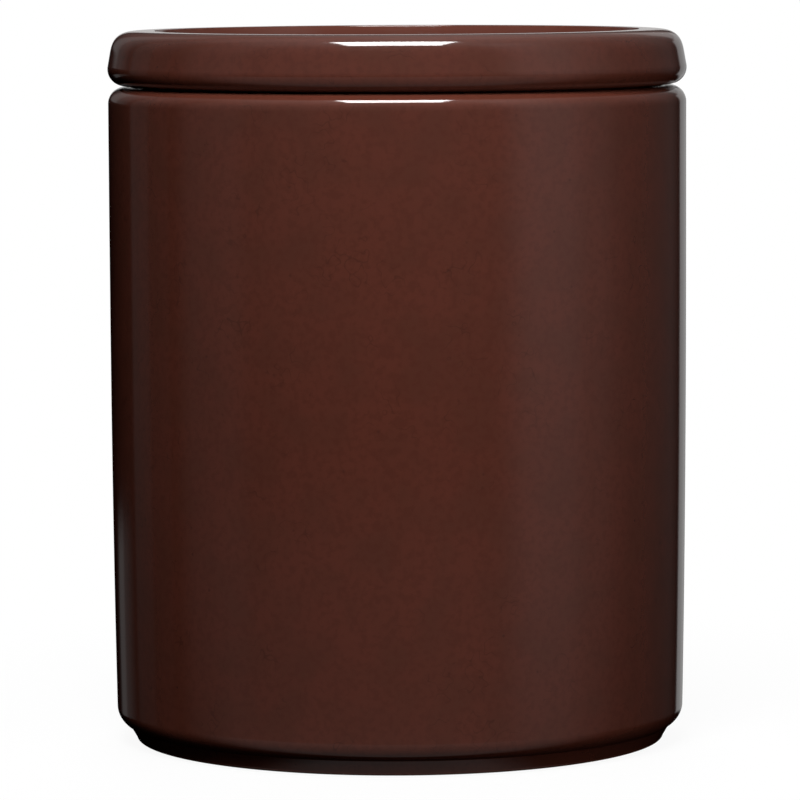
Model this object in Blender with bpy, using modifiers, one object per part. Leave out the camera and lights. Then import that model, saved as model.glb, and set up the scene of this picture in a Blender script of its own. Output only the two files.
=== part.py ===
"""Ceramic storage jar: a turned stoneware jar, its dished lid and the silicone ring that seals them.

Metres, +Z up. The origin is the middle of the foot, on the surface that the jar stands on.
Every piece is turned: an outline in the XZ plane, swept round Z.
"""

import math

import bpy

# Outside of the jar
body_diameter = 0.1200
jar_height = 0.13607
shoulder_radius = 0.0034
base_taper = 0.00078
corner_radius = 0.0042
foot_height = 0.0028
foot_bite = 0.00035
foot_setback = 0.0048
foot_land = 0.0042
foot_edge_radius = 0.0006

# Inside of the jar
wall = 0.0052
mouth_radius = 0.0010
floor_thickness = 0.0060
floor_fillet = 0.0060
base_recess = 0.0022
base_fillet = 0.0015

# Lid above the jar's rim
lid_gap = 0.0003
lid_height = 0.01128
lid_overhang = 0.0001
lid_lower_radius = 0.0034
crown_height = 0.0049
crown_reach = 0.0070
crest_land = 0.0025
rim_inner_radius = 0.0008
recess_depth = 0.0075
recess_lean = 0.0016
recess_fillet = 0.0030
lid_floor = 0.0045

# Plug under the lid, and the groove round it
plug_clearance = 0.0020
plug_depth = 0.0138
plug_wall = 0.0054
plug_edge_radius = 0.0014
plug_root_fillet = 0.0008
plug_inner_fillet = 0.0025
groove_drop = 0.0036
groove_height = 0.0060
groove_depth = 0.0026

# Silicone ring in the groove
seal_gap = 0.0003
band_thickness = 0.0015
band_corner = 0.0003
fin_count = 3
fin_root = 0.0010
fin_tip = 0.0006
fin_rise = 0.0007
fin_round_share = 0.35

# The jar's side bows in towards the foot with this power of the way down.
# The lid's side leans in by this share of its rise, and its crown is a rounded square of this power.
taper_power = 3.0
lid_lean_share = 0.176
crown_power = 3.1

# Colours and gloss of the finishes
glaze_colour = (0.072, 0.021, 0.0145)
glaze_roughness = 0.12
glaze_coat = 0.6
silicone_colour = (0.62, 0.60, 0.56)
silicone_roughness = 0.45
silicone_coat = 0.0

# Facets: turns round the axis, and points along the curved stretches
turn_steps = 64
side_steps = 6
wall_steps = 4
crown_steps = 9
large_arc_steps = 6
arc_steps = 4
small_arc_steps = 2
crease_degrees = 35.0
merge_distance = 0.00001

# Levels and radii that more than one piece follows
body_radius = body_diameter / 2
side_bottom = foot_height + corner_radius
side_top = jar_height - shoulder_radius
bore_radius = body_radius - wall
floor_level = base_recess + floor_thickness
foot_radius = body_radius - foot_setback
lid_radius = body_radius + lid_overhang
lid_bottom = jar_height + lid_gap
lid_top = lid_bottom + lid_height
widest_level = lid_bottom + lid_lower_radius
lean_angle = math.atan(lid_lean_share)
lean_start = lid_radius + lid_lower_radius * (1 / math.cos(lean_angle) - 1)
crest_outer = lid_radius - crown_reach
crest_inner = crest_outer - crest_land
recess_mouth = crest_inner - rim_inner_radius
recess_level = lid_top - recess_depth
plug_radius = bore_radius - plug_clearance
groove_top = lid_bottom - groove_drop
groove_bottom = groove_top - groove_height
groove_radius = plug_radius - groove_depth


def arc(radius, centre_r, centre_z, start, end, steps):
    """Points of an arc about a centre, with angles in degrees from +X towards +Z."""
    points = []
    for step in range(steps + 1):
        angle = math.radians(start + (end - start) * step / steps)
        points.append((centre_r + radius * math.cos(angle), centre_z + radius * math.sin(angle)))
    return points


def side_radius(level):
    """Outer radius of the jar's side, which narrows slowly towards the foot."""
    way_up = (level - side_bottom) / (side_top - side_bottom)
    way_down = min(1.0, max(0.0, 1.0 - way_up))
    return body_radius - base_taper * way_down ** taper_power


def side_points(start, end, steps, inset):
    """Points along the jar's side between two levels, inset from its outer face."""
    points = []
    for step in range(steps + 1):
        level = start + (end - start) * step / steps
        points.append((side_radius(level) - inset, level))
    return points


def jar_foot():
    """Outline of the foot: down its leaning outer wall, across the land and up into the base."""
    corner_centre = side_radius(side_bottom) - corner_radius
    crease_level = foot_height + foot_bite
    crease_angle = -math.degrees(math.asin((side_bottom - crease_level) / corner_radius))
    outer = foot_radius - foot_edge_radius
    inner = foot_radius - foot_land
    points = arc(corner_radius, corner_centre, side_bottom, 0, crease_angle, large_arc_steps)
    points += arc(foot_edge_radius, outer, foot_edge_radius, 0, -90, small_arc_steps)
    points += arc(foot_edge_radius, inner, foot_edge_radius, -90, -180, small_arc_steps)
    points += arc(base_fillet, inner - foot_edge_radius - base_fillet, base_recess - base_fillet, 0, 90, arc_steps)
    points.append((0, base_recess))
    return points


def jar_outline():
    """Outline of the jar from the middle of its inside floor, over the rim, to the middle of its base."""
    fillet_top = floor_level + floor_fillet
    fillet_centre = side_radius(fillet_top) - wall - floor_fillet
    mouth_level = jar_height - mouth_radius
    points = [(0, floor_level)]
    points += arc(floor_fillet, fillet_centre, fillet_top, -90, 0, large_arc_steps)
    points += side_points(fillet_top, mouth_level, wall_steps, wall)
    points += arc(mouth_radius, bore_radius + mouth_radius, mouth_level, 180, 90, arc_steps)
    points += arc(shoulder_radius, body_radius - shoulder_radius, side_top, 90, 0, large_arc_steps)
    points += side_points(side_top, side_bottom, side_steps, 0)
    points += jar_foot()
    return points


def crown_points():
    """Points of the lid's outer crown, a rounded square that leans in, from its crest down to its side.

    The leaning side meets the lower arc without a crease, so it starts a little outside the lid's radius.
    """
    crown_level = lid_top - crown_height
    depth = lean_start - crest_outer - lid_lean_share * (lid_top - widest_level)
    points = []
    for step in range(crown_steps + 1):
        turn = math.radians(90 * (1 - step / crown_steps))
        rise = math.sin(turn) ** (2 / crown_power)
        level = crown_level + crown_height * rise
        lean = lid_lean_share * (level - widest_level)
        rounding = depth * (1 - max(0.0, math.cos(turn)) ** (2 / crown_power))
        points.append((lean_start - lean - rounding, level))
    return points


def lid_crown():
    """Outline of the dish and the rim, from the middle of the recess to the flange's underside."""
    fillet_centre = recess_mouth - recess_lean - recess_fillet
    lower_centre = lid_radius - lid_lower_radius
    points = [(0, recess_level)]
    points += arc(recess_fillet, fillet_centre, recess_level + recess_fillet, -90, 0, arc_steps)
    points += arc(rim_inner_radius, crest_inner, lid_top - rim_inner_radius, 180, 90, arc_steps)
    points += crown_points()
    points += arc(lid_lower_radius, lower_centre, widest_level, math.degrees(lean_angle), -90, large_arc_steps)
    return points


def lid_plug():
    """Outline of the hollow plug with its groove, from the flange's underside to the axis."""
    plug_bottom = lid_bottom - plug_depth
    inner = plug_radius - plug_wall
    hollow_level = recess_level - lid_floor
    edge_level = plug_bottom + plug_edge_radius
    root_level = lid_bottom - plug_root_fillet
    points = arc(plug_root_fillet, plug_radius + plug_root_fillet, root_level, 90, 180, small_arc_steps)
    points.append((plug_radius, groove_top))
    points.append((groove_radius, groove_top))
    points.append((groove_radius, groove_bottom))
    points.append((plug_radius, groove_bottom))
    points += arc(plug_edge_radius, plug_radius - plug_edge_radius, edge_level, 0, -90, arc_steps)
    points += arc(plug_edge_radius, inner + plug_edge_radius, edge_level, -90, -180, arc_steps)
    points += arc(plug_inner_fillet, inner - plug_inner_fillet, hollow_level - plug_inner_fillet, 0, 90, arc_steps)
    points.append((0, hollow_level))
    return points


def seal_fin(root_radius, tip_radius, level):
    """Outline of one fin, from its root above to its root below; the tip is rounded and leans up."""
    tip_level = level + fin_rise
    tip_round = fin_tip * fin_round_share
    half_tip = fin_tip / 2
    return [
        (root_radius, level + fin_root / 2),
        (tip_radius - tip_round, tip_level + half_tip),
        (tip_radius, tip_level + half_tip - tip_round),
        (tip_radius, tip_level - half_tip + tip_round),
        (tip_radius - tip_round, tip_level - half_tip),
        (root_radius, level - fin_root / 2),
    ]


def seal_outline():
    """Closed outline of the ring: a flat band in the groove, with fins that reach for the bore."""
    band_inner = groove_radius + seal_gap
    band_outer = band_inner + band_thickness
    band_top = groove_top - seal_gap
    band_bottom = groove_bottom + seal_gap
    tip_radius = bore_radius - seal_gap
    highest_fin = band_top - band_corner - fin_rise / 2 - fin_root / 2
    lowest_fin = band_bottom + band_corner + fin_root / 2
    pitch = (highest_fin - lowest_fin) / (fin_count - 1)
    points = [(band_outer - band_corner, band_top), (band_outer, band_top - band_corner)]
    for fin in range(fin_count):
        points += seal_fin(band_outer, tip_radius, highest_fin - pitch * fin)
    points.append((band_outer, band_bottom + band_corner))
    points.append((band_outer - band_corner, band_bottom))
    points.append((band_inner, band_bottom))
    points.append((band_inner, band_top))
    return points


def plain_finish(name, colour, roughness, coat):
    """A plain Principled finish, with a clear coat where the piece is glazed."""
    material = bpy.data.materials.new(name)
    material.use_nodes = True
    shader = material.node_tree.nodes["Principled BSDF"]
    shader.inputs["Base Color"].default_value = (*colour, 1.0)
    shader.inputs["Roughness"].default_value = roughness
    shader.inputs["Metallic"].default_value = 0.0
    shader.inputs["Coat Weight"].default_value = coat
    material.diffuse_color = (*colour, 1.0)
    return material


def without_repeats(points):
    """The outline with each point that falls on the one before it left out."""
    kept = [points[0]]
    for point in points[1:]:
        if math.dist(point, kept[-1]) > merge_distance:
            kept.append(point)
    return kept


def turned(name, outline, closed, material, collection):
    """An object swept round Z from an outline that runs down its outer side."""
    outline = without_repeats(outline)
    edges = [(index, index + 1) for index in range(len(outline) - 1)]
    if closed:
        edges.append((len(outline) - 1, 0))
    mesh = bpy.data.meshes.new(name)
    mesh.from_pydata([(radius, 0, level) for radius, level in outline], edges, [])
    piece = bpy.data.objects.new(name, mesh)
    collection.objects.link(piece)
    screw = piece.modifiers.new("turn", "SCREW")
    screw.steps = turn_steps
    screw.render_steps = turn_steps
    screw.use_merge_vertices = True
    screw.merge_threshold = merge_distance
    smooth_turning(piece)
    piece.data.materials.append(material)
    return piece


def smooth_turning(piece):
    """Keeps the swept mesh, shaded smooth but for its creases."""
    bpy.context.view_layer.update()
    swept = bpy.data.meshes.new_from_object(piece.evaluated_get(bpy.context.evaluated_depsgraph_get()))
    swept.shade_smooth()
    swept.set_sharp_from_angle(angle=math.radians(crease_degrees))
    outline_mesh = piece.data
    piece.modifiers.clear()
    piece.data = swept
    swept.name = piece.name
    bpy.data.meshes.remove(outline_mesh)


def clear_scene():
    """Removes the objects that a new Blender file opens with."""
    for old in list(bpy.data.objects):
        bpy.data.objects.remove(old, do_unlink=True)


def build():
    """The jar, the lid and the seal, in one collection."""
    clear_scene()
    collection = bpy.data.collections.new("ceramic_storage_jar")
    bpy.context.scene.collection.children.link(collection)
    jar_finish = plain_finish("jar_glaze", glaze_colour, glaze_roughness, glaze_coat)
    lid_finish = plain_finish("lid_glaze", glaze_colour, glaze_roughness, glaze_coat)
    seal_finish = plain_finish("seal_silicone", silicone_colour, silicone_roughness, silicone_coat)
    turned("jar", jar_outline(), False, jar_finish, collection)
    turned("lid", lid_crown() + lid_plug(), False, lid_finish, collection)
    turned("lid_seal", seal_outline(), True, seal_finish, collection)


build()
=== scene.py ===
"""Looks of a glazed stoneware storage jar: the pot, its dished lid and the silicone ring that seals them.

Metres, +Z up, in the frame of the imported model: the origin is the middle of the foot, and -Y is the front.
Each piece is drawn as a potter's template, an outline in the XZ plane, and spun round Z.
"""

import logging
import math
from dataclasses import dataclass
from enum import Enum

import bpy
from mathutils import Matrix, Vector


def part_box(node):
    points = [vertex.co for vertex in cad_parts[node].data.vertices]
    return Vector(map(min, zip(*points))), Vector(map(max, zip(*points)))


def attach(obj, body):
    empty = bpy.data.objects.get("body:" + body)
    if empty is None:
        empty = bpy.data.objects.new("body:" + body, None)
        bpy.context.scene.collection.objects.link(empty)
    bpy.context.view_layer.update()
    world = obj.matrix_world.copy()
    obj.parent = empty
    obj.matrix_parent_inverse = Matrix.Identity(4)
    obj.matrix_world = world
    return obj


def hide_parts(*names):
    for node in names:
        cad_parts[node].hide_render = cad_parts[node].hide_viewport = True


Point = tuple[float, float]
Span = tuple[float, float]
Place = tuple[float, float, float]
Colour = tuple[float, float, float]
Socket = bpy.types.NodeSocket

TURN_STEPS = 256
START_SIZE = 0.001
MERGE_DISTANCE = 0.000001
CREASE_DEGREES = 40.0
NOISE_MIDDLE = 0.5
FITTING_GAP = 0.0003
LAMP_WATTS_PER_SQUARE_METRE = 4.0

log = logging.getLogger("storage_jar")
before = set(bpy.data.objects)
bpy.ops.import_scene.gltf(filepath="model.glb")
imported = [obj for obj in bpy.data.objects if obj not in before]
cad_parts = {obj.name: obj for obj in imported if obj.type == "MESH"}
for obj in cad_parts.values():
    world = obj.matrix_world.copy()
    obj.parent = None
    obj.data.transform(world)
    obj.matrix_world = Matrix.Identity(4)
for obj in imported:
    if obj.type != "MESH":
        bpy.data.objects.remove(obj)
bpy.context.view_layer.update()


class Ending(Enum):
    """How a template's outline ends."""

    ON_THE_AXIS = "on the axis"
    ON_ITS_START = "on its start"


class Ware(Enum):
    """What a face of the pottery shows."""

    GLAZED = 0
    BARE = 1


class LampUse(Enum):
    """What a lamp is hung for."""

    LIGHTS = "lights the ware"
    MIRRORED = "is mirrored in the glaze"


class Template:
    """A turned piece's outline in the XZ plane, drawn corner by corner and arc by arc."""

    def __init__(self, name: str, radius: float, level: float) -> None:
        """Starts the outline from a small plane that is merged into one corner.

        Args:
            name: the piece's name.
            radius: the first corner's distance from the axis.
            level: the first corner's height.
        """
        bpy.ops.object.select_all(action="DESELECT")
        bpy.ops.mesh.primitive_plane_add(size=START_SIZE, location=(radius, 0.0, level))
        self.piece = bpy.context.object
        self.piece.name = name
        self.piece.data.name = name
        self.at: Point = (radius, level)
        bpy.ops.object.mode_set(mode="EDIT")
        bpy.ops.mesh.select_mode(type="VERT")
        bpy.ops.mesh.select_all(action="SELECT")
        bpy.ops.mesh.merge(type="CENTER")

    def line(self, radius: float, level: float) -> None:
        """Draws a straight stretch.

        Args:
            radius: where it ends, from the axis.
            level: the height that it ends at.
        """
        step = (radius - self.at[0], 0.0, level - self.at[1])
        if math.hypot(step[0], step[2]) > MERGE_DISTANCE:
            bpy.ops.mesh.extrude_region_move(TRANSFORM_OT_translate={"value": step})
            self.at = (radius, level)

    def lines(self, points: list[Point]) -> None:
        """Draws one straight stretch after another.

        Args:
            points: the corners, each with its distance from the axis and its height.
        """
        for radius, level in points:
            self.line(radius, level)

    def arc(self, size: float, centre: Point, start: float, end: float, steps: int) -> None:
        """Draws up to an arc and then round it.

        Args:
            size: the arc's radius.
            centre: the arc's centre.
            start: the angle that it starts at, in degrees from outwards towards up.
            end: the angle that it ends at.
            steps: the number of facets.
        """
        first = math.radians(start)
        last = math.radians(end)
        self.line(centre[0] + size * math.cos(first), centre[1] + size * math.sin(first))
        bpy.ops.mesh.spin(
            steps=steps, angle=last - first, center=(centre[0], 0.0, centre[1]), axis=(0.0, 1.0, 0.0))
        self.at = (centre[0] + size * math.cos(last), centre[1] + size * math.sin(last))

    def sweep(self, ending: Ending) -> bpy.types.Object:
        """Spins the outline into a closed shell.

        Args:
            ending: whether the outline ends on the axis, or is closed to its first corner.

        Returns:
            The shell, in object mode, with its place in its mesh.
        """
        bpy.ops.mesh.select_all(action="SELECT")
        if ending is Ending.ON_ITS_START:
            bpy.ops.mesh.remove_doubles(threshold=MERGE_DISTANCE)
            bpy.ops.mesh.select_all(action="SELECT")
        bpy.ops.mesh.spin(steps=TURN_STEPS, angle=math.tau, center=(0.0, 0.0, 0.0), axis=(0.0, 0.0, 1.0))
        bpy.ops.mesh.select_all(action="SELECT")
        bpy.ops.mesh.remove_doubles(threshold=MERGE_DISTANCE)
        bpy.ops.mesh.normals_make_consistent(inside=False)
        bpy.ops.object.mode_set(mode="OBJECT")
        bpy.ops.object.transform_apply(location=True, rotation=True, scale=True)
        return self.piece


def soften(piece: bpy.types.Object, dents: float = 0.0, dent_width: float = 0.0) -> None:
    """Takes the machined look off a turned shell and smooths its shading.

    Args:
        piece: the shell.
        dents: how deep its slow, uneven dents are, or 0 for none. They only go inwards.
        dent_width: how wide they are.
    """
    if dents > 0.0:
        unevenness = bpy.data.textures.new(piece.name + "_unevenness", "CLOUDS")
        unevenness.noise_scale = dent_width
        dent = piece.modifiers.new("dents", "DISPLACE")
        dent.texture = unevenness
        dent.texture_coords = "LOCAL"
        dent.mid_level = 1.0
        dent.strength = dents
        bpy.ops.object.modifier_apply(modifier=dent.name)
    bpy.ops.object.shade_smooth_by_angle(angle=math.radians(CREASE_DEGREES))
    even = piece.modifiers.new("even_shading", "WEIGHTED_NORMAL")
    even.keep_sharp = True
    bpy.ops.object.modifier_apply(modifier=even.name)


class Wiring:
    """The nodes of a finish or of the room, added and joined one after another."""

    def __init__(self, tree: bpy.types.NodeTree) -> None:
        """Takes a node tree, as it is.

        Args:
            tree: the tree of a material or of the world.
        """
        self.tree = tree

    def node(self, kind: str, **settings: object) -> bpy.types.Node:
        """Adds a node.

        Args:
            kind: its type, without the common first word.
            settings: its properties.

        Returns:
            The node.
        """
        made = self.tree.nodes.new("ShaderNode" + kind)
        for name, value in settings.items():
            setattr(made, name, value)
        return made

    def join(self, source: Socket | float, target: Socket) -> None:
        """Links an output to an input, or sets the input to a number.

        Args:
            source: the output or the number.
            target: the input.
        """
        if isinstance(source, (int, float)):
            target.default_value = source
        else:
            self.tree.links.new(source, target)

    def sum(self, operation: str, *terms: Socket | float) -> Socket:
        """One step of arithmetic.

        Args:
            operation: the name of the operation.
            terms: what it works on, outputs or numbers.

        Returns:
            The result's output.
        """
        step = self.node("Math", operation=operation)
        for place, term in enumerate(terms):
            self.join(term, step.inputs[place])
        return step.outputs["Value"]

    def fade(self, value: Socket, low: float, high: float) -> Socket:
        """Goes softly from 0 to 1.

        Args:
            value: what decides it.
            low: the value at which it is 0.
            high: the value at which it is 1, below low for a fade the other way.

        Returns:
            The fade's output.
        """
        made = self.node("MapRange", interpolation_type="SMOOTHSTEP")
        flip = high < low
        self.join(value, made.inputs["Value"])
        made.inputs["From Min"].default_value = min(low, high)
        made.inputs["From Max"].default_value = max(low, high)
        made.inputs["To Min"].default_value = 1.0 if flip else 0.0
        made.inputs["To Max"].default_value = 0.0 if flip else 1.0
        return made.outputs["Result"]

    def noise(self, place: Socket, per_metre: float, detail: float) -> Socket:
        """Cloudy noise.

        Args:
            place: the coordinates that it is read at.
            per_metre: how many of its clouds lie in a metre.
            detail: how many finer layers it has.

        Returns:
            Its strength, from 0 to 1.
        """
        made = self.node("TexNoise", noise_dimensions="3D")
        self.join(place, made.inputs["Vector"])
        made.inputs["Scale"].default_value = per_metre
        made.inputs["Detail"].default_value = detail
        return made.outputs["Fac"]

    def blend(self, share: Socket | float, first: Socket | Colour, second: Socket | Colour) -> Socket:
        """Blends two colours.

        Args:
            share: how much of the second shows.
            first: a colour or its output.
            second: another.

        Returns:
            The blended colour's output.
        """
        made = self.node("Mix", data_type="RGBA")
        self.join(share, made.inputs["Factor"])
        for name, colour in (("A", first), ("B", second)):
            socket = next(each for each in made.inputs if each.name == name and each.type == "RGBA")
            if isinstance(colour, tuple):
                socket.default_value = (*colour, 1.0)
            else:
                self.tree.links.new(colour, socket)
        return next(each for each in made.outputs if each.type == "RGBA")


def blank_material(name: str) -> tuple[bpy.types.Material, Wiring, bpy.types.Node, Socket]:
    """A material with a plain surface shader, ready to be wired.

    Args:
        name: the material's name.

    Returns:
        The material, its wiring, its shader, and the output of the object's own coordinates.
    """
    material = bpy.data.materials.new(name)
    material.use_nodes = True
    wiring = Wiring(material.node_tree)
    shader = material.node_tree.nodes["Principled BSDF"]
    place = wiring.node("TexCoord").outputs["Object"]
    return material, wiring, shader, place


@dataclass(frozen=True)
class Glaze:
    """A glossy chocolate-brown stoneware glaze, softly mottled, and lighter on the edges: partly thinner
    glaze, partly painted light from above.
    """

    colour: Colour = (0.0720, 0.0190, 0.0118)
    deep_colour: Colour = (0.0632, 0.0182, 0.0112)
    grain_colour: Colour = (0.0590, 0.0156, 0.0097)
    # Lighter colour for the edges: partly glaze that runs thin, partly painted light from above on up-facing
    # edges.
    break_and_painted_light_colour: Colour = (0.1250, 0.0335, 0.0205)
    speck_colour: Colour = (0.0260, 0.0080, 0.0055)
    roughness: float = 0.08
    refraction: float = 1.5
    cloud_rate: float = 130.0
    cloud_detail: float = 3.0
    cloud_span: Span = (0.35, 0.70)
    grain_rate: float = 760.0
    grain_detail: float = 2.0
    grain_span: Span = (0.42, 0.68)
    grain_share: float = 0.72
    speck_rate: float = 290.0
    speck_size: float = 0.14
    speck_rarity: Span = (0.60, 0.95)
    speck_strength: float = 0.60
    hairline_rate: float = 300.0
    hairline_detail: float = 1.0
    hairline_width: float = 0.020
    hairline_patch_rate: float = 95.0
    hairline_patch_detail: float = 2.0
    hairline_patch_span: Span = (0.54, 0.64)
    hairline_strength: float = 0.40
    pit_depth: float = 0.000010
    ripple_rate: float = 110.0
    ripple_detail: float = 1.0
    ripple_height: float = 0.000008
    orange_peel_rate: float = 800.0
    orange_peel_detail: float = 2.0
    orange_peel_height: float = 0.0000045

    def make(self, name: str) -> bpy.types.Material:
        """Mixes the glaze.

        Args:
            name: the material's name.

        Returns:
            The material.
        """
        material, wiring, shader, place = blank_material(name)
        clouds = wiring.fade(wiring.noise(place, self.cloud_rate, self.cloud_detail), *self.cloud_span)
        grain = wiring.fade(wiring.noise(place, self.grain_rate, self.grain_detail), *self.grain_span)
        base = wiring.blend(clouds, self.colour, self.deep_colour)
        base = wiring.blend(wiring.sum("MULTIPLY", grain, self.grain_share), base, self.grain_colour)
        lines = wiring.sum("MULTIPLY", self.hairlines(wiring, place), self.hairline_strength)
        base = wiring.blend(lines, base, self.speck_colour)
        specks = self.specks(wiring, place)
        base = wiring.blend(wiring.sum("MULTIPLY", specks, self.speck_strength), base, self.speck_colour)
        # Painted light: edges painted lighter, partly for thin glaze and partly for light from above on
        # up-facing edges.
        thin = wiring.node("Attribute", attribute_name="glaze_break_and_painted_light").outputs["Fac"]
        base = wiring.blend(thin, base, self.break_and_painted_light_colour)
        wiring.join(base, shader.inputs["Base Color"])
        shader.inputs["Roughness"].default_value = self.roughness
        shader.inputs["IOR"].default_value = self.refraction
        ripple = wiring.noise(place, self.ripple_rate, self.ripple_detail)
        peel = wiring.noise(place, self.orange_peel_rate, self.orange_peel_detail)
        relief = self.relief(wiring, ripple, self.ripple_height, None)
        relief = self.relief(wiring, peel, self.orange_peel_height, relief)
        relief = self.relief(wiring, wiring.sum("SUBTRACT", 1.0, specks), self.pit_depth, relief)
        wiring.join(relief, shader.inputs["Normal"])
        return material

    def specks(self, wiring: Wiring, place: Socket) -> Socket:
        """Small dark iron specks, scattered thinly, each with a pit where it melted in.

        Args:
            wiring: the glaze's nodes.
            place: the object's coordinates.

        Returns:
            How much of a speck shows, from 0 to 1.
        """
        cells = wiring.node("TexVoronoi", feature="F1")
        wiring.join(place, cells.inputs["Vector"])
        cells.inputs["Scale"].default_value = self.speck_rate
        near = wiring.fade(cells.outputs["Distance"], self.speck_size, 0.0)
        rarity = wiring.node("SeparateColor")
        wiring.join(cells.outputs["Color"], rarity.inputs["Color"])
        chosen = wiring.fade(rarity.outputs["Red"], *self.speck_rarity)
        return wiring.sum("MULTIPLY", near, chosen)

    def hairlines(self, wiring: Wiring, place: Socket) -> Socket:
        """Short, faint lines in patches, where the glaze boiled and healed over in the kiln.

        Args:
            wiring: the glaze's nodes.
            place: the object's coordinates.

        Returns:
            How much of a line shows, from 0 to 1.
        """
        wander = wiring.noise(place, self.hairline_rate, self.hairline_detail)
        away = wiring.sum("ABSOLUTE", wiring.sum("SUBTRACT", wander, NOISE_MIDDLE))
        line = wiring.fade(away, self.hairline_width, 0.0)
        patchy = wiring.noise(place, self.hairline_patch_rate, self.hairline_patch_detail)
        patches = wiring.fade(patchy, *self.hairline_patch_span)
        return wiring.sum("MULTIPLY", line, patches)

    def relief(self, wiring: Wiring, height: Socket, depth: float, under: Socket | None) -> Socket:
        """A layer of fine relief.

        Args:
            wiring: the glaze's nodes.
            height: the pattern of the relief.
            depth: its height in metres.
            under: the relief that it lies on, if any.

        Returns:
            The surface direction's output.
        """
        bump = wiring.node("Bump")
        bump.inputs["Strength"].default_value = 1.0
        bump.inputs["Distance"].default_value = depth
        wiring.join(height, bump.inputs["Height"])
        if under is not None:
            wiring.join(under, bump.inputs["Normal"])
        return bump.outputs["Normal"]


@dataclass(frozen=True)
class BareClay:
    """Unglazed stoneware, where the ware stood in the kiln."""

    colour: Colour = (0.200, 0.135, 0.090)
    dark_colour: Colour = (0.085, 0.052, 0.036)
    roughness: float = 0.82
    grain_rate: float = 1400.0
    grain_detail: float = 4.0
    grain_span: Span = (0.55, 0.75)
    cloud_rate: float = 120.0
    cloud_detail: float = 3.0
    cloud_span: Span = (0.35, 0.70)
    grain_height: float = 0.000025

    def make(self, name: str) -> bpy.types.Material:
        """Mixes the bare clay.

        Args:
            name: the material's name.

        Returns:
            The material.
        """
        material, wiring, shader, place = blank_material(name)
        grain = wiring.noise(place, self.grain_rate, self.grain_detail)
        clouds = wiring.fade(wiring.noise(place, self.cloud_rate, self.cloud_detail), *self.cloud_span)
        base = wiring.blend(clouds, self.colour, self.dark_colour)
        base = wiring.blend(wiring.fade(grain, *self.grain_span), base, self.dark_colour)
        wiring.join(base, shader.inputs["Base Color"])
        shader.inputs["Roughness"].default_value = self.roughness
        bump = wiring.node("Bump")
        bump.inputs["Distance"].default_value = self.grain_height
        wiring.join(grain, bump.inputs["Height"])
        wiring.join(bump.outputs["Normal"], shader.inputs["Normal"])
        return material


@dataclass(frozen=True)
class Silicone:
    """Milky silicone rubber, a little cloudy, with a satin skin."""

    colour: Colour = (0.62, 0.60, 0.56)
    dull_colour: Colour = (0.50, 0.48, 0.44)
    roughness: float = 0.42
    cloud_rate: float = 160.0
    cloud_detail: float = 3.0
    cloud_span: Span = (0.35, 0.75)
    grain_rate: float = 1800.0
    grain_detail: float = 2.0
    grain_height: float = 0.000004
    glow: float = 0.25
    glow_colour: Colour = (1.0, 0.9, 0.8)
    glow_depth: float = 0.0012

    def make(self, name: str) -> bpy.types.Material:
        """Mixes the silicone.

        Args:
            name: the material's name.

        Returns:
            The material.
        """
        material, wiring, shader, place = blank_material(name)
        clouds = wiring.fade(wiring.noise(place, self.cloud_rate, self.cloud_detail), *self.cloud_span)
        wiring.join(wiring.blend(clouds, self.colour, self.dull_colour), shader.inputs["Base Color"])
        shader.inputs["Roughness"].default_value = self.roughness
        shader.inputs["Subsurface Weight"].default_value = self.glow
        shader.inputs["Subsurface Radius"].default_value = self.glow_colour
        shader.inputs["Subsurface Scale"].default_value = self.glow_depth
        bump = wiring.node("Bump")
        bump.inputs["Distance"].default_value = self.grain_height
        wiring.join(wiring.noise(place, self.grain_rate, self.grain_detail), bump.inputs["Height"])
        wiring.join(bump.outputs["Normal"], shader.inputs["Normal"])
        return material


@dataclass(frozen=True)
class GlazeBreakAndPaintedLight:
    """A ring along an edge that is painted lighter: partly glaze that runs thin in the kiln, partly painted
    light from above.
    """

    radius: float
    level: float
    width: float
    strength: float


def mark_glaze_break_and_painted_light(piece: bpy.types.Object, breaks: list[GlazeBreakAndPaintedLight]) -> None:
    """Stores how much lighter the glaze is painted at each point of a pot, for glaze that runs thin and for
    painted light from above.

    Args:
        piece: the pot.
        breaks: the edges that are painted lighter.
    """
    mesh = piece.data
    marks = mesh.attributes.new("glaze_break_and_painted_light", "FLOAT", "POINT")
    # Painted light: each ring paints the glaze lighter, partly for thin glaze and partly for light from
    # above.
    for index, vertex in enumerate(mesh.vertices):
        radius = math.hypot(vertex.co.x, vertex.co.y)
        thin = 0.0
        for edge in breaks:
            away = math.hypot(radius - edge.radius, vertex.co.z - edge.level) / edge.width
            thin = max(thin, edge.strength * max(0.0, 1.0 - away * away))
        marks.data[index].value = thin


def wear_ware(piece: bpy.types.Object, glaze: Glaze, clay: BareClay, bare_level: float, tag: str) -> None:
    """Glazes a pot, but for the ring that it stood on in the kiln.

    Args:
        piece: the pot.
        glaze: its glaze.
        clay: its clay.
        bare_level: faces that lie lower than this are bare.
        tag: what the materials' names start with.
    """
    piece.data.materials.clear()
    piece.data.materials.append(glaze.make(tag + "_glaze"))
    piece.data.materials.append(clay.make(tag + "_bare_clay"))
    for face in piece.data.polygons:
        bare = face.center.z < bare_level
        face.material_index = Ware.BARE.value if bare else Ware.GLAZED.value


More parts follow.
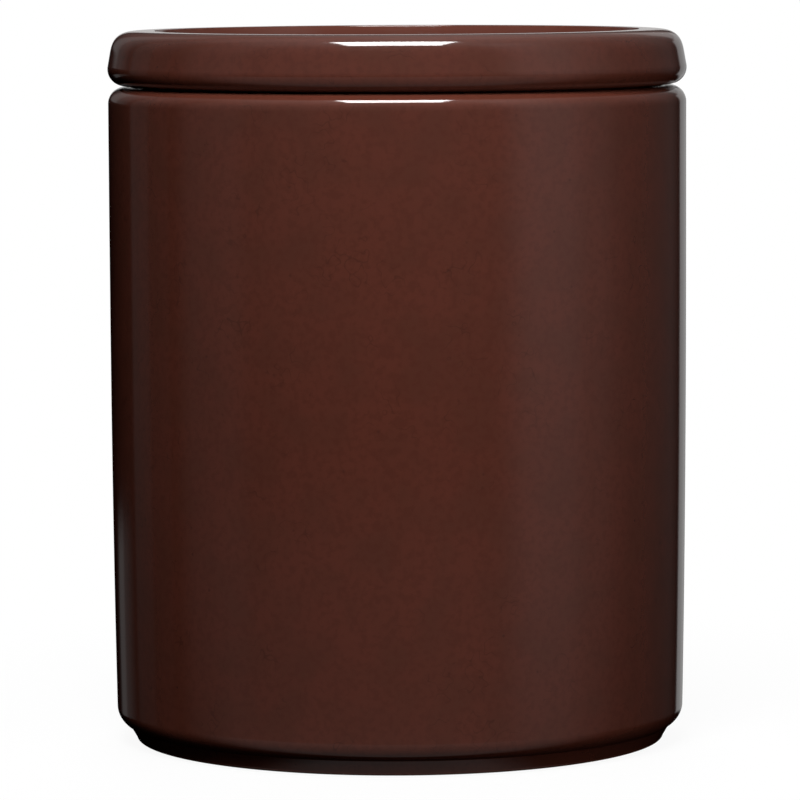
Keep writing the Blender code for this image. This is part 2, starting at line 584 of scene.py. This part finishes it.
@dataclass
class Pot:
    """The one-piece jar: straight wall, rounded shoulder and corner, and a low foot ring."""

    body_radius: float
    height: float
    shoulder_radius: float = 0.0034
    base_taper: float = 0.00078
    taper_power: float = 3.0
    corner_radius: float = 0.0042
    foot_height: float = 0.0028
    foot_bite: float = 0.00035
    foot_setback: float = 0.0048
    foot_land: float = 0.0042
    foot_edge_radius: float = 0.0006
    wall: float = 0.0052
    mouth_radius: float = 0.0010
    floor_thickness: float = 0.0060
    floor_fillet: float = 0.0060
    base_recess: float = 0.0022
    base_fillet: float = 0.0015
    bare_level: float = 0.00025
    side_steps: int = 40
    arc_steps: int = 12
    dents: float = 0.00003
    dent_width: float = 0.030
    mouth_thin_width: float = 0.0016
    mouth_thin_strength: float = 0.45
    # Painted light: the top of the shoulder is painted lighter, partly for glaze that runs thin there and
    # partly for light from above.
    shoulder_break_and_painted_light_width: float = 0.0030
    shoulder_break_and_painted_light_strength: float = 0.53

    def side_radius(self, level: float) -> float:
        """Outer radius of the side, which narrows slowly towards the foot.

        Args:
            level: the height.

        Returns:
            The radius.
        """
        bottom = self.foot_height + self.corner_radius
        top = self.height - self.shoulder_radius
        way_down = min(1.0, max(0.0, (top - level) / (top - bottom)))
        return self.body_radius - self.base_taper * way_down ** self.taper_power

    def side(self, start: float, end: float, inset: float) -> list[Point]:
        """Corners along the side between two levels.

        Args:
            start: the first level.
            end: the last level.
            inset: how far inside the outer face they lie.

        Returns:
            The corners.
        """
        levels = [start + (end - start) * step / self.side_steps for step in range(self.side_steps + 1)]
        return [(self.side_radius(level) - inset, level) for level in levels]

    def draw_inside(self) -> Template:
        """Draws the inside, from the middle of the floor up to the mouth's rounded edge.

        Returns:
            The template so far.
        """
        floor_level = self.base_recess + self.floor_thickness
        fillet_top = floor_level + self.floor_fillet
        fillet_centre = self.side_radius(fillet_top) - self.wall - self.floor_fillet
        mouth_level = self.height - self.mouth_radius
        mouth_centre = self.body_radius - self.wall + self.mouth_radius
        template = Template("glazed_pot", 0.0, floor_level)
        template.arc(self.floor_fillet, (fillet_centre, fillet_top), -90.0, 0.0, self.arc_steps)
        template.lines(self.side(fillet_top, mouth_level, self.wall))
        template.arc(self.mouth_radius, (mouth_centre, mouth_level), 180.0, 90.0, self.arc_steps)
        return template

    def draw_outside(self, template: Template) -> None:
        """Draws the shoulder and the side.

        Args:
            template: the outline so far.
        """
        top = self.height - self.shoulder_radius
        centre = (self.body_radius - self.shoulder_radius, top)
        template.arc(self.shoulder_radius, centre, 90.0, 0.0, self.arc_steps)
        template.lines(self.side(top, self.foot_height + self.corner_radius, 0.0))

    def draw_foot(self, template: Template) -> None:
        """Draws the lower corner, the foot's leaning wall and land, and the hollow base.

        Args:
            template: the outline so far.
        """
        bottom = self.foot_height + self.corner_radius
        corner = self.side_radius(bottom) - self.corner_radius
        crease = -math.degrees(math.asin((self.corner_radius - self.foot_bite) / self.corner_radius))
        outer = self.body_radius - self.foot_setback - self.foot_edge_radius
        inner = self.body_radius - self.foot_setback - self.foot_land
        fillet = (inner - self.foot_edge_radius - self.base_fillet, self.base_recess - self.base_fillet)
        template.arc(self.corner_radius, (corner, bottom), 0.0, crease, self.arc_steps)
        template.arc(self.foot_edge_radius, (outer, self.foot_edge_radius), 0.0, -90.0, self.arc_steps)
        template.arc(self.foot_edge_radius, (inner, self.foot_edge_radius), -90.0, -180.0, self.arc_steps)
        template.arc(self.base_fillet, fillet, 0.0, 90.0, self.arc_steps)
        template.line(0.0, self.base_recess)

    def build(self, glaze: Glaze, clay: BareClay) -> bpy.types.Object:
        """Turns and glazes the jar.

        Args:
            glaze: its glaze.
            clay: its clay.

        Returns:
            The finished jar.
        """
        template = self.draw_inside()
        self.draw_outside(template)
        self.draw_foot(template)
        piece = template.sweep(Ending.ON_THE_AXIS)
        soften(piece, self.dents, self.dent_width)
        mouth = GlazeBreakAndPaintedLight(
            self.body_radius - self.wall, self.height, self.mouth_thin_width, self.mouth_thin_strength)
        # Painted light: the shoulder ring paints its top lighter, partly thin glaze and partly light from
        # above.
        shoulder = GlazeBreakAndPaintedLight(
            self.body_radius - self.shoulder_radius / 2, self.height,
            self.shoulder_break_and_painted_light_width, self.shoulder_break_and_painted_light_strength)
        mark_glaze_break_and_painted_light(piece, [mouth, shoulder])
        wear_ware(piece, glaze, clay, self.bare_level, "pot")
        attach(piece, "jar")
        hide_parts("jar")
        return piece


@dataclass
class Lid:
    """The one-piece lid: a dished top with a wide rounded rim, and a hollow, grooved plug."""

    radius: float
    top: float
    bottom: float
    lower_radius: float = 0.0034
    lean_share: float = 0.176
    crown_height: float = 0.0049
    crown_reach: float = 0.0070
    crown_power: float = 3.1
    crest_land: float = 0.0025
    rim_inner_radius: float = 0.0004
    recess_depth: float = 0.0075
    recess_lean: float = 0.0016
    recess_fillet: float = 0.0030
    floor: float = 0.0045
    plug_radius: float = 0.0528
    plug_depth: float = 0.0138
    plug_wall: float = 0.0054
    plug_edge_radius: float = 0.0014
    plug_root_fillet: float = 0.0008
    plug_inner_fillet: float = 0.0025
    groove_drop: float = 0.0036
    groove_height: float = 0.0060
    groove_depth: float = 0.0026
    groove_edge_radius: float = 0.0003
    bare_height: float = 0.0003
    crown_steps: int = 36
    arc_steps: int = 12
    dents: float = 0.00002
    dent_width: float = 0.030
    # Painted light: the lid's flat crest and rounded crown are painted lighter, partly for glaze that runs
    # thin and partly for light from above on these up-facing surfaces.
    crest_break_and_painted_light_width: float = 0.0050
    crest_break_and_painted_light_strength: float = 1.0
    crown_break_and_painted_light_share: float = 0.6
    crown_break_and_painted_light_width: float = 0.0030
    crown_break_and_painted_light_strength: float = 0.55

    def crown(self) -> list[Point]:
        """Corners of the outer crown, a rounded square that leans in, from its crest down to its side.

        Returns:
            The corners.
        """
        widest = self.bottom + self.lower_radius
        lean_angle = math.atan(self.lean_share)
        lean_start = self.radius + self.lower_radius * (1.0 / math.cos(lean_angle) - 1.0)
        crest_outer = self.radius - self.crown_reach
        side_level = self.top - self.crown_height
        depth = lean_start - crest_outer - self.lean_share * (self.top - widest)
        corners = []
        for step in range(self.crown_steps + 1):
            turn = math.radians(90.0 * (1.0 - step / self.crown_steps))
            rise = math.sin(turn) ** (2.0 / self.crown_power)
            level = side_level + self.crown_height * rise
            lean = self.lean_share * (level - widest)
            rounding = depth * (1.0 - max(0.0, math.cos(turn)) ** (2.0 / self.crown_power))
            corners.append((lean_start - lean - rounding, level))
        return corners

    def draw_top(self) -> Template:
        """Draws the dish and the rim, from the middle of the recess down to the flange's underside.

        Returns:
            The template so far.
        """
        recess_level = self.top - self.recess_depth
        crest_inner = self.radius - self.crown_reach - self.crest_land
        fillet_radius = crest_inner - self.rim_inner_radius - self.recess_lean - self.recess_fillet
        fillet_centre = (fillet_radius, recess_level + self.recess_fillet)
        inner_centre = (crest_inner, self.top - self.rim_inner_radius)
        lower_centre = (self.radius - self.lower_radius, self.bottom + self.lower_radius)
        template = Template("glazed_lid", 0.0, recess_level)
        template.arc(self.recess_fillet, fillet_centre, -90.0, 0.0, self.arc_steps)
        template.arc(self.rim_inner_radius, inner_centre, 180.0, 90.0, self.arc_steps)
        template.lines(self.crown())
        lean = math.degrees(math.atan(self.lean_share))
        template.arc(self.lower_radius, lower_centre, lean, -90.0, 2 * self.arc_steps)
        return template

    def draw_plug(self, template: Template) -> None:
        """Draws the plug and its groove, from the flange's underside to the axis.

        Args:
            template: the outline so far.
        """
        root = self.plug_root_fillet
        groove_top = self.bottom - self.groove_drop
        groove_bottom = groove_top - self.groove_height
        groove_radius = self.plug_radius - self.groove_depth
        edge_level = self.bottom - self.plug_depth + self.plug_edge_radius
        inner = self.plug_radius - self.plug_wall
        hollow_level = self.top - self.recess_depth - self.floor
        hollow_centre = (inner - self.plug_inner_fillet, hollow_level - self.plug_inner_fillet)
        template.arc(root, (self.plug_radius + root, self.bottom - root), 90.0, 180.0, self.arc_steps)
        template.line(self.plug_radius, groove_top)
        template.line(groove_radius, groove_top)
        template.line(groove_radius, groove_bottom)
        template.line(self.plug_radius, groove_bottom)
        outer_centre = (self.plug_radius - self.plug_edge_radius, edge_level)
        inner_centre = (inner + self.plug_edge_radius, edge_level)
        template.arc(self.plug_edge_radius, outer_centre, 0.0, -90.0, self.arc_steps)
        template.arc(self.plug_edge_radius, inner_centre, -90.0, -180.0, self.arc_steps)
        template.arc(self.plug_inner_fillet, hollow_centre, 0.0, 90.0, self.arc_steps)
        template.line(0.0, hollow_level)

    def build(self, glaze: Glaze, clay: BareClay) -> bpy.types.Object:
        """Turns and glazes the lid.

        Args:
            glaze: its glaze.
            clay: its clay.

        Returns:
            The finished lid.
        """
        template = self.draw_top()
        self.draw_plug(template)
        piece = template.sweep(Ending.ON_THE_AXIS)
        soften(piece, self.dents, self.dent_width)
        # Painted light: crest and crown rings paint the up-facing rim lighter, partly thin glaze and partly
        # light from above.
        crest_middle = self.radius - self.crown_reach - self.crest_land / 2
        crown_middle = self.radius - self.crown_reach * self.crown_break_and_painted_light_share
        crest = GlazeBreakAndPaintedLight(crest_middle, self.top, self.crest_break_and_painted_light_width, self.crest_break_and_painted_light_strength)
        crown = GlazeBreakAndPaintedLight(crown_middle, self.top, self.crown_break_and_painted_light_width, self.crown_break_and_painted_light_strength)
        mark_glaze_break_and_painted_light(piece, [crest, crown])
        wear_ware(piece, glaze, clay, self.bottom - self.plug_depth + self.bare_height, "lid")
        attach(piece, "lid")
        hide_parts("lid")
        return piece


@dataclass
class SealRing:
    """The silicone ring: a flat band in the lid's groove, with fins that lean up towards the bore."""

    inner_radius: float
    outer_radius: float
    top: float
    bottom: float
    band_thickness: float = 0.0015
    band_corner: float = 0.0003
    fin_count: int = 3
    fin_root: float = 0.0010
    fin_tip: float = 0.0006
    fin_rise: float = 0.0007
    arc_steps: int = 5

    def draw_fin(self, template: Template, level: float) -> None:
        """Draws one fin, from its root above to its root below.

        Args:
            template: the outline so far.
            level: the height of the middle of its root.
        """
        root = self.inner_radius + self.band_thickness
        tip = self.fin_tip / 2
        centre = (self.outer_radius - tip, level + self.fin_rise)
        template.line(root, level + self.fin_root / 2)
        template.arc(tip, centre, 90.0, -90.0, 2 * self.arc_steps)
        template.line(root, level - self.fin_root / 2)

    def build(self, rubber: Silicone) -> bpy.types.Object:
        """Turns the ring.

        Args:
            rubber: its finish.

        Returns:
            The finished ring.
        """
        outer = self.inner_radius + self.band_thickness
        corner = self.band_corner
        highest = self.top - corner - self.fin_rise / 2 - self.fin_root / 2
        lowest = self.bottom + corner + self.fin_root / 2
        pitch = (highest - lowest) / (self.fin_count - 1)
        template = Template("seal_ring", self.inner_radius, self.top)
        template.arc(corner, (outer - corner, self.top - corner), 90.0, 0.0, self.arc_steps)
        for fin in range(self.fin_count):
            self.draw_fin(template, highest - pitch * fin)
        template.arc(corner, (outer - corner, self.bottom + corner), 0.0, -90.0, self.arc_steps)
        template.line(self.inner_radius, self.bottom)
        template.line(self.inner_radius, self.top)
        piece = template.sweep(Ending.ON_ITS_START)
        soften(piece)
        piece.data.materials.clear()
        piece.data.materials.append(rubber.make("seal_silicone"))
        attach(piece, "seal")
        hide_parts("lid_seal")
        return piece


@dataclass(frozen=True)
class SoftLamp:
    """A rectangular studio lamp behind a soft white cloth."""

    name: str
    place: Place
    aim: Place
    width: float
    height: float
    brightness: float
    use: LampUse

    def hang(self) -> bpy.types.Object:
        """Hangs the lamp and turns it to what it lights.

        Returns:
            The lamp.
        """
        cloth = bpy.data.lights.new(self.name, "AREA")
        cloth.shape = "RECTANGLE"
        cloth.size = self.width
        cloth.size_y = self.height
        cloth.energy = LAMP_WATTS_PER_SQUARE_METRE * self.width * self.height * self.brightness
        lamp = bpy.data.objects.new(self.name, cloth)
        bpy.context.scene.collection.objects.link(lamp)
        lamp.location = self.place
        lamp.rotation_euler = (Vector(self.aim) - Vector(self.place)).to_track_quat("-Z", "Y").to_euler()
        lamp.visible_glossy = self.use is LampUse.MIRRORED
        lamp.visible_diffuse = self.use is LampUse.LIGHTS
        lamp.visible_camera = False
        return lamp


@dataclass(frozen=True)
class Panel:
    """A pale part of the room that the glaze mirrors, in degrees as seen from the jar.

    Azimuth 0 is the viewer's side, 90 is the right, and 180 is straight behind.
    """

    left: float
    right: float
    low: float
    high: float
    side_softness: float
    level_softness: float
    brightness: float


@dataclass
class Room:
    """What stands round the jar: a white surround, panels that the glaze mirrors, a floor and lamps."""

    ambient: float = 0.02
    floor_radius: float = 0.6
    floor_sides: int = 96
    floor_drop: float = 0.0002
    paper_colour: Colour = (0.85, 0.85, 0.85)
    paper_roughness: float = 0.9
    shadow_share: float = 0.08
    shadow_reach: float = 0.22

    def panels(self) -> list[Panel]:
        """All the panels that the glaze mirrors.

        Returns:
            The panels.
        """
        return [*self.back_panels(), *self.side_panels(), *self.front_panels(), *self.high_panels()]

    def back_panels(self) -> list[Panel]:
        """Strips behind the jar, which its two edges mirror.

        Returns:
            The panels, brighter on the right.
        """
        return [
            Panel(172.0, 187.0, -1.0, 4.0, 4.0, 2.0, 0.60),
            Panel(153.0, 172.0, -10.5, 10.0, 3.0, 3.0, 0.42),
            Panel(158.0, 172.0, 10.0, 24.0, 5.0, 4.0, 0.30),
            Panel(-165.0, -150.0, 2.5, 40.0, 4.0, 2.0, 0.07),
            Panel(-162.0, -138.0, 2.5, 40.0, 14.0, 2.0, 0.07),
            Panel(-156.0, -147.0, -11.0, -6.7, 3.0, 0.8, 0.06),
            Panel(-155.0, -138.0, -11.0, -6.7, 14.0, 0.8, 0.06),
        ]

    def side_panels(self) -> list[Panel]:
        """Tall, faint panels at the jar's right and left.

        Returns:
            The panels, those on the right first.
        """
        return [
            Panel(100.0, 146.0, -9.0, 60.0, 16.0, 16.0, 0.065),
            Panel(46.0, 76.0, -9.0, 60.0, 14.0, 16.0, 0.115),
            Panel(48.0, 96.0, -9.0, 60.0, 26.0, 16.0, 0.20),
            Panel(-94.0, -64.0, -9.0, 60.0, 14.0, 16.0, 0.08),
            Panel(-132.0, -117.0, -9.0, 60.0, 3.0, 16.0, 0.035),
            Panel(-132.0, -103.0, -9.0, 60.0, 3.0, 16.0, 0.02),
        ]

    def front_panels(self) -> list[Panel]:
        """Wide, faint panels on the viewer's side.

        Returns:
            The panels, those at the jar's level and above it first.
        """
        return [
            Panel(-70.0, 70.0, -30.0, 60.0, 60.0, 20.0, 0.03),
            Panel(-70.0, 70.0, -3.5, 120.0, 60.0, 7.0, 0.09),
            Panel(-80.0, 80.0, -95.0, -7.3, 40.0, 2.0, 0.055),
            Panel(-80.0, 80.0, -95.0, -12.0, 40.0, 5.0, 0.14),
        ]

    def high_panels(self) -> list[Panel]:
        """Pale panels high up, one behind the jar and two all round.

        Returns:
            The panels.
        """
        return [
            Panel(150.0, 186.0, 16.0, 120.0, 16.0, 30.0, 0.15),
            Panel(-200.0, 200.0, 20.0, 120.0, 1.0, 50.0, 0.15),
            Panel(-200.0, 200.0, 55.0, 120.0, 1.0, 40.0, 0.42),
        ]

    def window(self, wiring: Wiring, value: Socket, low: float, high: float, softness: float) -> Socket:
        """A soft-edged band of a value.

        Args:
            wiring: the world's nodes.
            value: what the band is cut from.
            low: where it starts, in degrees.
            high: where it ends, in degrees.
            softness: the width of its fading edges, in degrees.

        Returns:
            1 inside the band, fading to 0 outside it.
        """
        rise = wiring.fade(value, low - softness / 2, low + softness / 2)
        fall = wiring.fade(value, high + softness / 2, high - softness / 2)
        return wiring.sum("MULTIPLY", rise, fall)

    def mirrored(self, wiring: Wiring) -> Socket:
        """The brightness of the room as the glaze mirrors it, by direction.

        Args:
            wiring: the world's nodes.

        Returns:
            The brightness.
        """
        direction = wiring.node("TexCoord").outputs["Generated"]
        axes = wiring.node("SeparateXYZ")
        wiring.join(direction, axes.inputs["Vector"])
        back = wiring.sum("MULTIPLY", axes.outputs["Y"], -1.0)
        around = wiring.sum("DEGREES", wiring.sum("ARCTAN2", axes.outputs["X"], back))
        upward = wiring.sum("DEGREES", wiring.sum("ARCSINE", axes.outputs["Z"]))
        total = None
        for panel in self.panels():
            middle = (panel.left + panel.right) / 2.0
            half_width = (panel.right - panel.left) / 2.0
            turned = wiring.sum("WRAP", wiring.sum("SUBTRACT", around, middle), 180.0, -180.0)
            across = self.window(wiring, turned, -half_width, half_width, panel.side_softness)
            along = self.window(wiring, upward, panel.low, panel.high, panel.level_softness)
            glow = wiring.sum("MULTIPLY", wiring.sum("MULTIPLY", across, along), panel.brightness)
            total = glow if total is None else wiring.sum("ADD", total, glow)
        return total

    def surround(self) -> None:
        """Makes the world: white to the viewer, panels to the glaze, and a little light from all round."""
        world = bpy.data.worlds.new("white_surround")
        bpy.context.scene.world = world
        world.use_nodes = True
        wiring = Wiring(world.node_tree)
        background = world.node_tree.nodes["Background"]
        rays = wiring.node("LightPath")
        seen = wiring.sum("MAXIMUM", rays.outputs["Is Camera Ray"], rays.outputs["Is Transmission Ray"])
        gloss = wiring.sum("MULTIPLY", rays.outputs["Is Glossy Ray"], self.mirrored(wiring))
        matte = wiring.sum("SUBTRACT", 1.0, wiring.sum("MAXIMUM", seen, rays.outputs["Is Glossy Ray"]))
        soft = wiring.sum("MULTIPLY", matte, self.ambient)
        strength = wiring.sum("ADD", wiring.sum("ADD", seen, gloss), soft)
        background.inputs["Color"].default_value = (1.0, 1.0, 1.0, 1.0)
        wiring.join(strength, background.inputs["Strength"])

    def floor_material(self) -> bpy.types.Material:
        """White paper that keeps a faint shadow near the jar and fades into the surround.

        Returns:
            The material.
        """
        material, wiring, shader, place = blank_material("white_paper")
        axes = wiring.node("SeparateXYZ")
        wiring.join(place, axes.inputs["Vector"])
        squares = [wiring.sum("MULTIPLY", axes.outputs[name], axes.outputs[name]) for name in ("X", "Y")]
        away = wiring.sum("SQRT", wiring.sum("ADD", *squares))
        share = wiring.sum("MULTIPLY", wiring.fade(away, self.shadow_reach, 0.0), self.shadow_share)
        shader.inputs["Base Color"].default_value = (*self.paper_colour, 1.0)
        shader.inputs["Roughness"].default_value = self.paper_roughness
        glow = wiring.node("Emission")
        rays = wiring.node("LightPath")
        seen = wiring.sum("MAXIMUM", rays.outputs["Is Camera Ray"], rays.outputs["Is Transmission Ray"])
        wiring.join(seen, glow.inputs["Strength"])
        both = wiring.node("MixShader")
        wiring.join(share, both.inputs["Fac"])
        wiring.join(glow.outputs["Emission"], both.inputs[1])
        wiring.join(shader.outputs["BSDF"], both.inputs[2])
        wiring.join(both.outputs["Shader"], material.node_tree.nodes["Material Output"].inputs["Surface"])
        return material

    def lay_floor(self) -> bpy.types.Object:
        """Lays the white floor.

        Returns:
            The floor.
        """
        bpy.ops.object.select_all(action="DESELECT")
        bpy.ops.mesh.primitive_circle_add(
            vertices=self.floor_sides, radius=self.floor_radius, fill_type="NGON",
            location=(0.0, 0.0, -self.floor_drop))
        floor = bpy.context.object
        floor.name = "white_floor"
        floor.data.materials.append(self.floor_material())
        floor.visible_glossy = False
        floor.visible_diffuse = False
        return floor

    def hang_lamps(self) -> None:
        """Hangs the lamps: one overhead for the glaze to mirror, a key, a side lamp and one behind."""
        lid_front = (-0.013, -0.055, 0.146)
        middle = (0.0, 0.0, 0.08)
        lamps = [
            SoftLamp(
                name="over_lamp", place=(-0.013, -0.270, 0.948), aim=lid_front,
                width=0.436, height=0.414, brightness=22.0, use=LampUse.MIRRORED),
            SoftLamp(
                name="key_lamp", place=(-0.075, -0.462, 0.543), aim=middle,
                width=0.26, height=0.26, brightness=17.6, use=LampUse.LIGHTS),
            SoftLamp(
                name="side_lamp", place=(0.154, -0.207, 0.108), aim=middle,
                width=0.30, height=0.30, brightness=0.90, use=LampUse.LIGHTS),
            SoftLamp(
                name="rear_lamp", place=(0.0, 1.3, 0.55), aim=middle,
                width=0.9, height=0.7, brightness=8.0, use=LampUse.LIGHTS),
        ]
        for lamp in lamps:
            lamp.hang()
            log.info("hung %s", lamp.name)

    def build(self) -> None:
        """Sets up the whole room."""
        self.surround()
        self.lay_floor()
        self.hang_lamps()
        bpy.context.scene.view_settings.view_transform = "Standard"


@dataclass(frozen=True)
class Viewpoint:
    """The photograph's camera, far off with a long lens, a little above the jar and hardly rolled."""

    distance: float = 1.088
    height: float = 0.1681
    aside: float = 0.0003
    downward: float = 5.13
    roll: float = -0.27
    lens: float = 235.3
    nearest: float = 0.01

    def place(self) -> bpy.types.Object:
        """Sets the camera up.

        Returns:
            The camera.
        """
        optics = bpy.data.cameras.new("photo_camera")
        optics.lens = self.lens
        optics.clip_start = self.nearest
        camera = bpy.data.objects.new("photo_camera", optics)
        bpy.context.scene.collection.objects.link(camera)
        tilt = Matrix.Rotation(math.radians(90.0 - self.downward), 4, "X")
        lean = Matrix.Rotation(math.radians(self.roll), 4, "Z")
        camera.matrix_world = Matrix.Translation((self.aside, -self.distance, self.height)) @ tilt @ lean
        bpy.context.scene.camera = camera
        return camera


def main() -> None:
    """Builds the jar, the lid, the ring and the room, in that order."""
    logging.basicConfig(level=logging.INFO, format="%(name)s: %(message)s")
    Viewpoint().place()
    pot_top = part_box("jar")[1]
    lid_low, lid_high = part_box("lid")
    ring_low, ring_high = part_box("lid_seal")
    pot = Pot(body_radius=pot_top.x, height=pot_top.z)
    glaze = Glaze()
    clay = BareClay()
    lid = Lid(radius=lid_high.x, top=lid_high.z, bottom=lid_low.z + Lid.plug_depth)
    groove = lid.plug_radius - lid.groove_depth
    ring = SealRing(
        inner_radius=groove + FITTING_GAP, outer_radius=ring_high.x, top=ring_high.z, bottom=ring_low.z)
    for piece in (pot.build(glaze, clay), lid.build(glaze, clay), ring.build(Silicone())):
        log.info("turned %s: %d faces", piece.name, len(piece.data.polygons))
    Room().build()


if __name__ == "__main__":
    main()
